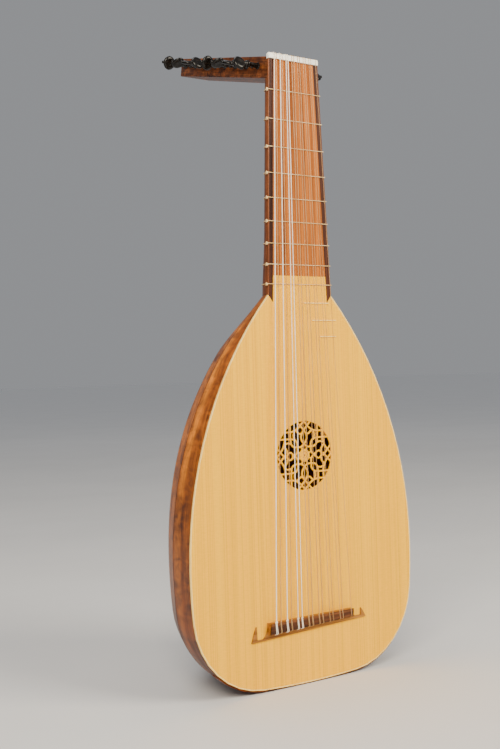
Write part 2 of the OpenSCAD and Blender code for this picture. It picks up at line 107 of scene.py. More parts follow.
# ---------------------------------------------------------------- materials
class Graph:
    """Short names for building a material's nodes."""

    def __init__(self, name):
        self.mat = bpy.data.materials.new(name)
        self.mat.use_nodes = True
        self.nodes = self.mat.node_tree.nodes
        self.links = self.mat.node_tree.links
        self.shader = self.nodes["Principled BSDF"]

    def add(self, kind, inputs=None, **props):
        node = self.nodes.new(kind)
        for key, value in props.items():
            setattr(node, key, value)
        for key, value in (inputs or {}).items():
            self.put(node.inputs[key], value)
        return node

    def put(self, socket, value):
        if isinstance(value, bpy.types.NodeSocket):
            self.links.new(value, socket)
        else:
            socket.default_value = value

    def coords(self, source):
        if source == "grain":
            return self.add("ShaderNodeAttribute", attribute_name="grain").outputs["Vector"]
        return self.add("ShaderNodeTexCoord").outputs["Object"]

    def scaled(self, vector, scale):
        return self.add("ShaderNodeMapping", {"Vector": vector, "Scale": scale}).outputs[0]

    def noise(self, vector, scale, detail=4.0, rough=0.55, distort=0.0):
        return self.add("ShaderNodeTexNoise", {"Vector": vector, "Scale": scale, "Detail": detail,
                                               "Roughness": rough, "Distortion": distort}).outputs["Fac"]

    def ramp(self, fac, stops):
        node = self.add("ShaderNodeValToRGB", {"Fac": fac})
        ramp = node.color_ramp
        while len(ramp.elements) > 1:
            ramp.elements.remove(ramp.elements[-1])
        for i, (pos, colour) in enumerate(stops):
            element = ramp.elements[0] if i == 0 else ramp.elements.new(pos)
            element.position = pos
            element.color = (*colour, 1) if len(colour) == 3 else colour
        return node.outputs["Color"]

    def grey(self, fac, low, high, at=(0.3, 0.7)):
        return self.ramp(fac, [(at[0], (low,) * 3), (at[1], (high,) * 3)])

    def blend(self, mode, fac, a, b):
        node = self.add("ShaderNodeMix", data_type="RGBA", blend_type=mode)
        self.put(node.inputs[0], fac)
        self.put(node.inputs[6], a)
        self.put(node.inputs[7], b)
        return node.outputs[2]

    def math(self, op, a, b):
        return self.add("ShaderNodeMath", {0: a, 1: b}, operation=op).outputs[0]

    def bump(self, height, strength, distance):
        normal = self.add("ShaderNodeBump", {"Height": height, "Strength": strength, "Distance": distance})
        self.put(self.shader.inputs["Normal"], normal.outputs["Normal"])

    def set(self, **values):
        for key, value in values.items():
            self.put(self.shader.inputs[key.replace("_", " ")], value)
        return self.mat


def wood(name, dark, base, light, source="grain", line=900.0, stretch=0.012, band=70.0,
         line_depth=0.5, figure=0.0, figure_scale=70.0, rough=(0.34, 0.5), coat=0.0, bump=0.15, tone=0.2,
         painted_tail_shade=None):
    """Straight-grained wood whose grain runs along z, with an optional curly figure across it, and optional
    painted shade that darkens it towards the tail.
    """
    g = Graph(name)
    at = g.coords(source)
    wander = g.noise(g.scaled(at, (3, 3, 1.2)), 3.0, 2.0)
    warped = g.add("ShaderNodeVectorMath", {0: at, 1: g.add("ShaderNodeCombineXYZ", {
        0: g.math("MULTIPLY", wander, 0.010), 1: 0.0, 2: 0.0}).outputs[0]}, operation="ADD").outputs[0]
    lines = g.noise(g.scaled(warped, (1, 1, stretch)), line, 3.0, 0.6)
    bands = g.noise(g.scaled(warped, (1, 1, stretch * 2)), band, 3.0, 0.5)
    grain = g.math("ADD", g.math("MULTIPLY", lines, line_depth), g.math("MULTIPLY", bands, 1 - line_depth))
    colour = g.ramp(grain, [(0.34, dark), (0.5, base), (0.66, light)])
    clouds = g.noise(g.scaled(at, (14, 14, 5)), 1.0, 3.0)
    colour = g.blend("MULTIPLY", tone, colour, g.grey(clouds, 0.35, 1.25, (0.25, 0.75)))
    if figure:
        curl = g.noise(g.scaled(at, (0.35, 0.35, 1.0)), figure_scale, 2.0, 0.5, 1.2)
        flame = g.noise(g.scaled(at, (1.0, 1.0, 0.55)), figure_scale * 0.45, 4.0, 0.6, 2.0)
        curly = g.math("ADD", g.math("MULTIPLY", curl, 0.4), g.math("MULTIPLY", flame, 0.6))
        colour = g.blend("MULTIPLY", figure, colour, g.ramp(curly, [
            (0.36, (0.26, 0.20, 0.16)), (0.48, (0.80, 0.76, 0.7)), (0.6, (1.4, 1.35, 1.25))]))
    # painted shade: the colour darkens towards the tail, low on the lute, in place of light that falls off
    # there
    if painted_tail_shade:
        height = g.add("ShaderNodeSeparateXYZ", {0: g.coords("object")}).outputs[2]
        low = g.add("ShaderNodeMapRange", {0: height, 1: -0.66, 2: -0.40}).outputs[0]
        colour = g.blend("MULTIPLY", 1.0, colour, g.ramp(low, [(0.0, painted_tail_shade), (1.0, (1.0, 1.0, 1.0))]))
    pores = g.noise(g.scaled(at, (1, 1, 0.03)), line * 1.7, 2.0)
    g.bump(g.math("ADD", lines, g.math("MULTIPLY", pores, 0.5)), bump, 0.0004)
    return g.set(Base_Color=colour, Roughness=g.grey(grain, rough[1], rough[0]), Specular_IOR_Level=0.2,
                 Coat_Weight=coat, Coat_Roughness=0.25)


def spruce():
    g = Graph("spruce_top")
    at = g.coords("grain")
    wander = g.noise(g.scaled(at, (2, 2, 1.0)), 2.0, 1.0)
    warped = g.add("ShaderNodeVectorMath", {0: at, 1: g.add("ShaderNodeCombineXYZ", {
        0: g.math("MULTIPLY", wander, 0.006), 1: 0.0, 2: 0.0}).outputs[0]}, operation="ADD").outputs[0]
    rings = g.noise(g.scaled(warped, (1, 0, 0.0012)), 620.0, 2.0, 0.6)
    broad = g.noise(g.scaled(warped, (1, 0, 0.003)), 95.0, 3.0, 0.55)
    silk = g.noise(g.scaled(at, (0.2, 0, 1.0)), 700.0, 2.0, 0.6)
    colour = g.ramp(rings, [(0.36, (0.84, 0.40, 0.002)), (0.5, (0.97, 0.485, 0.003)),
                            (0.64, (1.0, 0.525, 0.005))])
    colour = g.blend("MULTIPLY", 0.32, colour, g.ramp(broad, [
        (0.36, (0.80, 0.74, 0.66)), (0.5, (0.98, 0.97, 0.95)), (0.64, (1.06, 1.06, 1.06))]))
    colour = g.blend("MULTIPLY", 0.16, colour, g.grey(silk, 0.72, 1.1, (0.38, 0.62)))
    clouds = g.noise(g.scaled(at, (9, 9, 6)), 1.0, 3.0)
    patches = g.ramp(clouds, [(0.3, (0.8, 0.7, 0.6)), (0.7, (1.05, 1.05, 1.05))])
    colour = g.blend("MULTIPLY", 0.12, colour, patches)
    g.bump(rings, 0.10, 0.0003)
    return g.set(Base_Color=colour, Roughness=g.grey(rings, 0.5, 0.6), Specular_IOR_Level=0.1)


def gut(name, colour, shade, clear=0.0):
    """Smooth or gut string, faintly twisted. clear lets light through."""
    g = Graph(name)
    at = g.coords("object")
    spiral = g.noise(g.scaled(at, (1, 1, 1.4)), 1500.0, 2.0)
    slow = g.noise(at, 45.0, 2.0)
    tint = g.ramp(slow, [(0.35, shade), (0.65, colour)])
    g.bump(spiral, 0.2, 0.0001)
    return g.set(Base_Color=g.blend("MULTIPLY", 0.25, tint, g.grey(spiral, 0.7, 1.1)), Roughness=0.32,
                 Subsurface_Weight=0.15, Subsurface_Radius=(0.002, 0.0015, 0.001), Coat_Weight=0.1,
                 Transmission_Weight=clear)


def bone():
    g = Graph("bone")
    at = g.coords("object")
    pores = g.noise(g.scaled(at, (0.08, 1, 1)), 1600.0, 3.0)
    cloud = g.noise(at, 90.0, 3.0)
    g.bump(pores, 0.1, 0.0002)
    tint = g.ramp(cloud, [(0.3, (0.90, 0.85, 0.72)), (0.7, (0.99, 0.97, 0.90))])
    return g.set(Base_Color=g.blend("MULTIPLY", 0.3, tint, g.grey(pores, 0.85, 1.05)),
                 Roughness=g.grey(pores, 0.35, 0.25), Subsurface_Weight=0.15,
                 Subsurface_Radius=(0.002, 0.0018, 0.0014))


def ebony():
    g = Graph("peg_ebony")
    at = g.coords("object")
    streak = g.noise(g.scaled(at, (0.06, 1, 1)), 900.0, 4.0)
    worn = g.noise(at, 160.0, 4.0, 0.65)
    g.bump(streak, 0.08, 0.0002)
    return g.set(Base_Color=g.ramp(streak, [(0.35, (0.001, 0.001, 0.001)), (0.55, (0.004, 0.003, 0.002)),
                                            (0.75, (0.016, 0.009, 0.006))]),
                 Roughness=g.grey(worn, 0.18, 0.32), Specular_IOR_Level=0.3)


def floor_material():
    """Pale paint that gets paler away from the lute, so that the horizon stays soft."""
    g = Graph("pale_floor")
    at = g.coords("object")
    haze = g.noise(at, 3.0, 4.0)
    reach = g.add("ShaderNodeVectorMath", {0: at}, operation="LENGTH").outputs["Value"]
    far = g.add("ShaderNodeMapRange", {0: reach, 1: 1.4, 2: 4.5}).outputs[0]
    near_paint = g.ramp(haze, [(0.3, (0.66, 0.66, 0.665)), (0.7, (0.70, 0.70, 0.705))])
    far_paint = g.ramp(haze, [(0.3, (0.95, 0.95, 0.95)), (0.7, (0.99, 0.99, 0.99))])
    return g.set(Base_Color=g.blend("MIX", far, near_paint, far_paint), Roughness=0.8, Specular_IOR_Level=0.1)


# The ribs and the end clasp get painted shade, darker towards the tail.
RIB = dict(dark=(0.25, 0.056, 0.001), base=(0.52, 0.145, 0.003), light=(0.76, 0.245, 0.007),
           line=520, band=55, line_depth=0.35, figure=0.95, figure_scale=80, rough=(0.3, 0.44),
           coat=0.06, bump=0.05, tone=0.5, painted_tail_shade=(0.26, 0.18, 0.11))
M = {
    "spruce_top": spruce(),
    "pale_binding": wood("pale_binding", (0.80, 0.46, 0.10), (0.95, 0.66, 0.20), (1.0, 0.76, 0.30), "object",
                         line=900, line_depth=0.7, tone=0.1, bump=0.05),
    "rib_maple": wood("rib_maple", **RIB),
    "rib_maple_cad": wood("rib_maple_cad", source="object", **RIB),
    "inner_spruce": wood("inner_spruce", (0.42, 0.24, 0.08), (0.58, 0.37, 0.14), (0.68, 0.48, 0.22),
                         "object"),
    "neck_wood": wood("neck_wood", (0.060, 0.014, 0.004), (0.14, 0.038, 0.011), (0.25, 0.080, 0.026),
                      line=620, band=80, figure=0.35, rough=(0.34, 0.48), coat=0.05, tone=0.3),
    "fingerboard_wood": wood("fingerboard_wood", (0.12, 0.024, 0.002), (0.43, 0.120, 0.009),
                             (0.62, 0.205, 0.028), "object", line=900, stretch=0.003, band=330,
                             rough=(0.45, 0.6), bump=0.2, tone=0.15),
    "dark_trim": wood("dark_trim", (0.020, 0.005, 0.002), (0.054, 0.014, 0.005), (0.12, 0.036, 0.014),
                      "object", line=700, band=160, rough=(0.4, 0.55)),
    "bone": bone(),
    "pegbox_wood": wood("pegbox_wood", (0.045, 0.011, 0.002), (0.15, 0.042, 0.010), (0.30, 0.105, 0.030),
                        line=560, band=90, figure=0.8, figure_scale=150, rough=(0.3, 0.42), coat=0.1,
                        tone=0.3),
    "peg_ebony": ebony(),
    "fret_gut": gut("fret_gut", (0.86, 0.66, 0.36), (0.66, 0.42, 0.16)),
    "string_gut": gut("string_gut", (0.78, 0.52, 0.25), (0.66, 0.40, 0.17), clear=0.5),
    "string_white": gut("string_white", (0.92, 0.84, 0.72), (0.84, 0.75, 0.60)),
    "bridge_wood": wood("bridge_wood", (0.16, 0.050, 0.006), (0.37, 0.150, 0.022), (0.54, 0.25, 0.05),
                        line=600, band=120, rough=(0.4, 0.5), coat=0.05),
    "cap_wood": wood("cap_wood", (0.012, 0.003, 0.001), (0.095, 0.028, 0.008), (0.34, 0.125, 0.036),
                     line=420, band=180, line_depth=0.4, figure=0.6, figure_scale=170, rough=(0.35, 0.5),
                     coat=0.05),
}


# ---------------------------------------------------------------- mesh helpers
class Shape:
    """Points in millimetres, faces, and the place of each point in the wood (x across, z along)."""

    def __init__(self):
        self.points = []
        self.faces = []
        self.grain = []

    def add(self, points, faces, grain=None):
        n = len(self.points)
        self.points += [Vector(p) for p in points]
        self.grain += [Vector(q) for q in (grain or points)]
        self.faces += [[n + i for i in f] for f in faces]
        return self

    def rings(self, rings, grain=None):
        """Rings of the same count, joined one to the next and closed at both ends."""
        m, n = len(rings[0]), len(rings)
        faces = []
        for i in range(n - 1):
            for j in range(m):
                k = (j + 1) % m
                faces.append([i * m + j, i * m + k, (i + 1) * m + k, (i + 1) * m + j])
        faces += [list(range(m))[::-1], [(n - 1) * m + j for j in range(m)]]
        points = [p for ring in rings for p in ring]
        return self.add(points, faces, [q for ring in grain for q in ring] if grain else None)

    def loop(self, rings):
        """Rings joined one to the next and the last to the first."""
        m, n = len(rings[0]), len(rings)
        faces = [[i * m + j, i * m + (j + 1) % m, (i + 1) % n * m + (j + 1) % m, (i + 1) % n * m + j]
                 for i in range(n) for j in range(m)]
        return self.add([p for ring in rings for p in ring], faces)

    def tube(self, path, radius, sides=10, closed=False):
        path = [Vector(p) for p in path]
        n = len(path)
        rings = []
        up = Vector((1, 0, 0))
        for i in range(n):
            before = path[(i - 1) % n] if closed else path[max(0, i - 1)]
            after = path[(i + 1) % n] if closed else path[min(n - 1, i + 1)]
            t = (after - before).normalized()
            u = up - t * up.dot(t)
            if u.length < 0.2:
                u = Vector((0, 1, 0)) - t * t.y
            u.normalize()
            up = u
            v = t.cross(u)
            r = radius[i] if isinstance(radius, (list, tuple)) else radius
            angles = [2 * math.pi * k / sides for k in range(sides)]
            rings.append([path[i] + r * (math.cos(a) * u + math.sin(a) * v) for a in angles])
        return self.loop(rings) if closed else self.rings(rings)

    def slab(self, outline, y0, y1):
        """A plate from an [x, down] outline, between two depths."""
        return self.rings([[(x, y0, -d) for x, d in outline], [(x, y1, -d) for x, d in outline]])

    def build(self, name, material, body=LUTE, nodes=(), slot=None, sharp=35, bevel=0.0):
        mesh = bpy.data.meshes.new(name)
        mesh.from_pydata([place(p) for p in self.points], [], self.faces)
        grain = mesh.attributes.new("grain", "FLOAT_VECTOR", "POINT")
        for i, q in enumerate(self.grain):
            grain.data[i].vector = q * MM
        bm = bmesh.new()
        bm.from_mesh(mesh)
        bmesh.ops.recalc_face_normals(bm, faces=bm.faces)
        bm.to_mesh(mesh)
        bm.free()
        mesh.shade_smooth()
        mesh.set_sharp_from_angle(angle=rad(sharp))
        obj = bpy.data.objects.new(name, mesh)
        bpy.context.scene.collection.objects.link(obj)
        obj.data.materials.append(M[material] if isinstance(material, str) else material)
        if bevel:
            mod = obj.modifiers.new("edges", "BEVEL")
            mod.width = bevel * MM
            mod.segments = 2
            mod.limit_method = "ANGLE"
            mod.angle_limit = rad(40)
            mod.harden_normals = True
        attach(obj, body)
        if nodes:
            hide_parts(*nodes)
        return obj


# ---------------------------------------------------------------- outline and bowl
HALF_W, WIDEST, TAIL = 150.0, 537.0, 672.0
SHOULDER_R, FLANK_R, CORNER_R, TAIL_R = 426.0, 534.0, 90.0, 1028.0
NECK_RATIO, DEEP_RATIO, TAIL_RATIO = 0.74, 1.11, 0.98
DEEPEST, EVEN_FROM = 316, 556
RIB_CROWN, RIB_EDGE = 0.25, 0.12
SHOULDER_C = Vector((HALF_W - SHOULDER_R, WIDEST))
FLANK_C = Vector((HALF_W - FLANK_R, WIDEST))
TAIL_C = Vector((0, TAIL - TAIL_R))


def meet(c1, r1, c2, r2):
    """The crossing of two circles on the treble side."""
    gap = c2 - c1
    d = gap.length
    a = (r1 * r1 - r2 * r2 + d * d) / (2 * d)
    h = math.sqrt(r1 * r1 - a * a)
    u = gap / d
    side = Vector((-u.y, u.x)) * h
    return max(c1 + a * u + side, c1 + a * u - side, key=lambda p: p.x)


CORNER_C = meet(FLANK_C, FLANK_R - CORNER_R, TAIL_C, TAIL_R - CORNER_R)
SHOULDER_A = -math.asin((WIDEST - JOINT) / SHOULDER_R)
FLANK_DIR = (CORNER_C - FLANK_C).normalized()
TAIL_DIR = (CORNER_C - TAIL_C).normalized()
FLANK_A = math.atan2(FLANK_DIR.y, FLANK_DIR.x)
TAIL_A = math.atan2(TAIL_DIR.y, TAIL_DIR.x)


def arc(c, r, a0, a1, n, first=1):
    return [(c.x + r * math.cos(mix(a0, a1, i / n)), c.y + r * math.sin(mix(a0, a1, i / n)))
            for i in range(first, n + 1)]


def half_outline(e, end_x=0.0):
    end_a = math.acos(end_x / TAIL_R)
    return (arc(SHOULDER_C, SHOULDER_R - e, SHOULDER_A, 0, 40, 0) + arc(FLANK_C, FLANK_R - e, 0, FLANK_A, 9)
            + arc(CORNER_C, CORNER_R - e, FLANK_A, TAIL_A, 22) + arc(TAIL_C, TAIL_R - e, TAIL_A, end_a, 12))


def half_w(down):
    c, r = (SHOULDER_C, SHOULDER_R) if down < WIDEST else (FLANK_C, FLANK_R)
    return c.x + math.sqrt(r * r - (WIDEST - down) ** 2)


def depth_ratio(down):
    """Depth of the bowl as a part of its half width."""
    if down < DEEPEST:
        return mix(NECK_RATIO, DEEP_RATIO, smooth((down - JOINT) / (DEEPEST - JOINT)))
    return mix(DEEP_RATIO, TAIL_RATIO, smooth((down - DEEPEST) / (EVEN_FROM - DEEPEST)))


def bowl_point(p, a):
    x, down = p
    return Vector((-x * math.cos(rad(a)), BOARD_T + depth_ratio(down) * x * math.sin(rad(a)), -down))


def rib_rings(a0, a1, crown, edge, shift):
    """Sections of a rib from the neck to the tail, crowned in the middle and eased at its edges."""
    outer = half_outline(0, 5)
    inner = half_outline(RIB_T, 5)
    steps = [0, 0.03, 0.2, 0.4, 0.6, 0.8, 0.97, 1]
    rings, grain = [], []
    run = 0.0
    for i, (o, n) in enumerate(zip(outer, inner)):
        a, b, c, d = bowl_point(o, a0), bowl_point(o, a1), bowl_point(n, a1), bowl_point(n, a0)
        if i:
            run += (Vector(o) - Vector(outer[i - 1])).length
        inward = ((c + d) - (a + b)).normalized()
        ring = []
        for t in steps:
            lift = crown * 4 * t * (1 - t) if 0 < t < 1 else -edge
            ring.append(a.lerp(b, t) - inward * lift)
        ring += [c, d]
        width = (b - a).length
        rings.append(ring)
        grain.append([(shift + (t - 0.5) * width, 0, run + shift * 3) for t in steps]
                     + [(shift + 0.5 * width, RIB_T, run), (shift - 0.5 * width, RIB_T, run)])
    return rings, grain


def make_bowl():
    for k in range(1, RIBS + 1):
        a0 = (k - 1) * RIB_ANGLE + (0 if k == 1 else FILLET / 2)
        a1 = k * RIB_ANGLE - (0 if k == RIBS else FILLET / 2)
        rings, grain = rib_rings(a0, a1, RIB_CROWN, RIB_EDGE, 137.0 * k)
        Shape().rings(rings, grain).build(f"rib_{k:02d}_wood", "rib_maple", nodes=[f"rib_{k:02d}"],
                                          slot="rib_maple")
    lines = Shape()
    for k in range(1, RIBS):
        a = k * RIB_ANGLE
        rings, grain = rib_rings(a - FILLET / 2, a + FILLET / 2, 0.0, 0.0, 31.0 * k)
        lines.rings(rings, grain)
    lines.build("rib_fillet_lines", "dark_trim", nodes=["rib_fillets"], slot="dark_trim")


# ---------------------------------------------------------------- soundboard and rose
def neck_w(down):
    return mix(NUT_HALF, half_w(JOINT), down / JOINT)


def strip_out(down):
    return neck_w(down) - LIP_W


def strip_in(down):
    return strip_out(down) - STRIP_W


def board_outline(e):
    right = [(strip_in(BOARD_END), BOARD_END), (strip_in(STRIP_TIP), STRIP_TIP),
             (strip_out(STRIP_END), STRIP_END)]
    right += half_outline(e)
    return right + [(-x, d) for x, d in reversed(right[:-1])]


def make_soundboard():
    outline = board_outline(BINDING_W)
    n = 96
    hole = [(ROSE_R * math.cos(2 * math.pi * i / n), ROSE_DOWN + ROSE_R * math.sin(2 * math.pi * i / n))
            for i in range(n)]
    wide = [(x * ROSE_LIP, ROSE_DOWN + (d - ROSE_DOWN) * ROSE_LIP) for x, d in hole]
    bm = bmesh.new()

    def ring(points, y):
        verts = [bm.verts.new((x, y, -d)) for x, d in points]
        edges = [bm.edges.new((verts[i], verts[(i + 1) % len(verts)])) for i in range(len(verts))]
        return verts, edges

    def wall(a, b):
        for i in range(len(a)):
            j = (i + 1) % len(a)
            bm.faces.new((a[i], a[j], b[j], b[i]))

    front, front_edges = ring(outline, 0)
    lip, lip_edges = ring(wide, 0)
    mouth, _ = ring(hole, 0.45)
    back, back_edges = ring(outline, BOARD_T)
    back_hole, back_hole_edges = ring(hole, BOARD_T)
    bmesh.ops.triangle_fill(bm, use_beauty=True, use_dissolve=False, edges=front_edges + lip_edges)
    bmesh.ops.triangle_fill(bm, use_beauty=True, use_dissolve=False, edges=back_edges + back_hole_edges)
    wall(front, back)
    wall(lip, mouth)
    wall(mouth, back_hole)
    bm.verts.ensure_lookup_table()
    bm.verts.index_update()
    shape = Shape().add([v.co.copy() for v in bm.verts], [[v.index for v in f.verts] for f in bm.faces])
    bm.free()
    shape.build("soundboard_plate", "spruce_top", nodes=["soundboard"], slot="spruce_top", sharp=20)


def rose_paths():
    """Centre lines of the carved strips, in units of the rose's radius."""
    shared = [
        [(-0.02, 1.02), (0.30, 0.70), (0.76, 0.70)],
        [(0.90, 0.50), (0.36, 0.50), (0.25, 0.38), (0.245, 0.245)],
        [(0.36, 0.49), (0.39, 0.60), (0.35, 0.70)],
        [(0.09, 0.64), (0.16, 0.62), (0.29, 0.73)],
    ]
    slot_side = [[(0.27, 1.01), (-0.105, 0.635), (-0.105, 0.44), (0.085, 0.245), (0.245, 0.245)]]
    ring_side = [[(0.27, 1.01), (-0.045, 0.695)], [(-0.055, 0.42), (0.085, 0.245), (0.245, 0.245)]]
    paths = []
    for turn in range(4):
        c, s = [(1, 0), (0, 1), (-1, 0), (0, -1)][turn]
        for path in shared + (ring_side if turn % 2 else slot_side):
            for side in (-1, 1):
                paths.append([(side * x * c - z * s, side * x * s + z * c) for x, z in path])
    return paths


def resample(path, step):
    """Points along a polyline, with its corners cut round."""
    pts = [Vector(p) for p in path]
    for _ in range(2):
        cut = [pts[0]]
        for a, b in zip(pts, pts[1:]):
            cut += [a.lerp(b, 0.25), a.lerp(b, 0.75)]
        pts = cut + [pts[-1]]
        pts = [p for i, p in enumerate(pts) if i == 0 or (p - pts[i - 1]).length > 1e-6]
    out = [pts[0]]
    for a, b in zip(pts, pts[1:]):
        n = max(1, round((b - a).length / step))
        out += [a.lerp(b, i / n) for i in range(1, n + 1)]
    return out


def make_rose():
    """Strips that pass over and under each other, with the rings and spokes of the middle."""
    width, step = 1.95, 0.55
    over_lift, under_lift, ramp_len = 0.28, -0.30, 2.4
    strips = [[p * ROSE_R for p in resample(path, step / ROSE_R)] for path in rose_paths()]
    strips = [[p for p in s if p.length < ROSE_R + 1.0] for s in strips]
    levels = [[0.0] * len(s) for s in strips]
    crossings = {}
    for i, a in enumerate(strips):
        for j in range(i + 1, len(strips)):
            best = min(((p - q).length, m, n) for m, p in enumerate(a) for n, q in enumerate(strips[j]))
            if best[0] < 0.5 and 2 < best[1] < len(a) - 3 and 2 < best[2] < len(strips[j]) - 3:
                crossings.setdefault(i, []).append((best[1], j))
                crossings.setdefault(j, []).append((best[2], i))
    over = {}
    for i in sorted(crossings):
        up = True
        for at, j in sorted(crossings[i]):
            key = (min(i, j), max(i, j))
            if key not in over:
                over[key] = i if up else j
            up = over[key] != i
            lift = over_lift if over[key] == i else under_lift
            for m in range(len(levels[i])):
                near = abs(m - at) * step / ramp_len
                if near < 1:
                    levels[i][m] += lift * smooth(1 - near)
    rose = Shape()
    for s, level in zip(strips, levels):
        rings = []
        for m, p in enumerate(s):
            t = (s[min(len(s) - 1, m + 1)] - s[max(0, m - 1)]).normalized()
            side = Vector((-t.y, t.x))
            top = 0.42 - level[m]
            half = width / 2
            ring = []
            for u, y in ((-half, BOARD_T), (-half, top + 0.32), (-half + 0.3, top), (0, top - 0.08),
                         (half - 0.3, top), (half, top + 0.32), (half, BOARD_T)):
                q = p + side * u
                ring.append((q.x, y, -ROSE_DOWN + q.y))
            rings.append(ring)
        rose.rings(rings)
    for x, r0, r1 in ((0, 1.0, 3.5), (0, 3.4, 7.0), (-0.53, 3.0, 4.9), (0.53, 3.0, 4.9)):
        ring_of(rose, x * ROSE_R, -ROSE_DOWN, r0, r1)
    spokes = 8
    for k in range(spokes):
        a = rad((k + 0.5) * 360 / spokes)
        u = Vector((math.cos(a), math.sin(a)))
        side = Vector((-u.y, u.x)) * 0.8
        rings = []
        for r in (6.4, 8.0, 10.2):
            p = u * r
            rings.append([(p.x + side.x * w, y, -ROSE_DOWN + p.y + side.y * w)
                          for w, y in ((-1, BOARD_T), (-1, 0.7), (0, 0.5), (1, 0.7), (1, BOARD_T))])
        rose.rings(rings)
    rose.build("rose_carving", "spruce_top", slot="spruce_top", sharp=50)


def ring_of(shape, x, z, r0, r1):
    """A flat carved ring with eased edges."""
    n = 40
    profile = [(r0, BOARD_T), (r0, 0.6), (r0 + 0.3, 0.32), (r1 - 0.3, 0.32), (r1, 0.6), (r1, BOARD_T)]
    shape.loop([[(x + r * math.cos(2 * math.pi * i / n), y, z + r * math.sin(2 * math.pi * i / n))
                 for r, y in profile] for i in range(n)])


# ---------------------------------------------------------------- neck, nut and frets
NECK_TOP_DEPTH, NECK_LOW_DEPTH, HEEL_START = 21, 27, 185
NECK_EDGE = 2.4


def neck_depth(down):
    """Depth of the neck, which swells to the bowl's own depth at the joint."""
    end = BOARD_T + NECK_RATIO * half_w(JOINT)
    heel = (end - NECK_LOW_DEPTH) * smooth((down - HEEL_START) / (JOINT - HEEL_START))
    return mix(NECK_TOP_DEPTH, NECK_LOW_DEPTH, down / JOINT) + heel


def neck_back(down, g, n=48):
    """[x, y] points round the back of the neck, a distance g outside it."""
    return [(-(neck_w(down) + g) * math.cos(math.pi * i / n),
             NECK_EDGE + (neck_depth(down) - NECK_EDGE + g) * math.sin(math.pi * i / n))
            for i in range(n + 1)]


def back_plane(y):
    return BACK_Z + math.tan(TILT) * y


def make_neck():
    def section(down):
        w = neck_w(down)
        return [(-w, BOARD_T)] + neck_back(down, 0) + [(w, BOARD_T)]

    top = -back_plane(10)
    rings = [[(x, y, back_plane(y)) for x, y in section(top)]]
    rings += [[(x, y, -d) for x, y in section(d)] for d in [40, 80, 120, 160] + list(range(180, 256, 5))]
    Shape().rings(rings).build("neck_shaft", "neck_wood", nodes=["neck"], slot="neck_wood", sharp=40)
    lips = Shape()
    for side in (-1, 1):
        outline = [(side * strip_out(d), d) for d in (0, JOINT)]
        outline += [(side * (neck_w(d) - 0.02), d) for d in (JOINT, 0)]
        lips.slab(outline, 0, BOARD_T + 0.02)
    lips.build("neck_lips", "neck_wood", slot="neck_wood", bevel=0.2)


def make_nut():
    profile = [(-NUT_FRONT, 0), (NUT_BACK, 0), (NUT_BACK, 4.6), (3.0, 5.5), (2.0, 6.1), (1.0, NUT_TOP),
               (0.0, 6.35), (-0.8, 6.0), (-1.35, 5.4), (-NUT_FRONT, 4.5)]
    ease = 0.9
    treble = [NUT_HALF - ease * i / 3 for i in range(4)]
    rings = []
    for x in [-t for t in treble] + treble[::-1]:
        end = smooth((abs(x) - NUT_HALF + ease) / ease) * 0.5
        rings.append([(x, y + (end if y < 0 else -end * 0.4), z - (end if z > 4 else 0)) for y, z in profile])
    Shape().rings(rings).build("nut_bone", "bone", nodes=["nut"], slot="bone", sharp=60)


def fret_down(n):
    return STRING_LEN * (1 - 2 ** (-n / 12))


def make_frets():
    r = FRET_D / 2
    for n in range(1, 10):
        down = fret_down(n)
        off = FRET_GAP + r
        w = neck_w(down) + off
        path = [(-w, -off + 0.15), (-w + 0.3, -off)]
        path += [(mix(-w + 1.2, w - 1.2, i / 8), -off) for i in range(9)]
        path += [(w - 0.3, -off), (w, -off + 0.15)] + neck_back(down, off, 40)[::-1]
        shape = Shape().tube([(x, y, -down) for x, y in path], r, 10, closed=True)
        knot = Vector((-w - 0.9, 0.1, -down - 0.4))
        turns = [knot + Vector((0.75 * math.sin(6 * math.pi * t), 0.95 * math.cos(6 * math.pi * t),
                                2.4 * (t - 0.5))) for t in [i / 36 for i in range(37)]]
        shape.tube(turns, 0.55, 8)
        shape.tube([knot + Vector((0.8, -0.5, 0.4)), knot, knot + Vector((-0.6, -0.6, 1.2)),
                    knot + Vector((-1.0, -0.8, 1.5))], [0.45, 0.6, 0.42, 0.5], 8)
        shape.tube([knot + Vector((0.6, 0.4, 0.4)), knot, knot + Vector((-0.7, 0.5, -1.2)),
                    knot + Vector((-1.1, 0.6, -1.5))], [0.45, 0.6, 0.42, 0.5], 8)
        shape.build(f"fret_{n}_gut", "fret_gut", f"fret_{n}", nodes=[f"fret_{n}"], slot="fret_gut", sharp=60)


# ---------------------------------------------------------------- pegbox and pegs
PEGBOX_TIP = pegbox_point(PEGBOX_LEN, 0)
ROOT_TOP = pegbox_point(0, ROOT_H)
TIP_TOP = pegbox_point(PEGBOX_LEN, TIP_H)


def pegbox_half(y):
    return mix(NUT_HALF, TIP_HALF, y / PEGBOX_TIP[0])


def pegbox_top(y):
    return mix(ROOT_TOP[1], TIP_TOP[1], (y - ROOT_TOP[0]) / (TIP_TOP[0] - ROOT_TOP[0]))


def pegbox_grain(p):
    """Grain runs along the pegbox."""
    x, y, z = p
    return Vector((z * math.cos(TILT) - y * math.sin(TILT), x, y * math.cos(TILT) + z * math.sin(TILT)))


def prism(shape, side_view, x_of):
    """A prism from a [y, z] outline, between two x positions that depend on y."""
    ends = [[(x_of(y, s), y, z) for y, z in side_view] for s in (0, 1)]
    shape.rings(ends, [[pegbox_grain(p) for p in ring] for ring in ends])


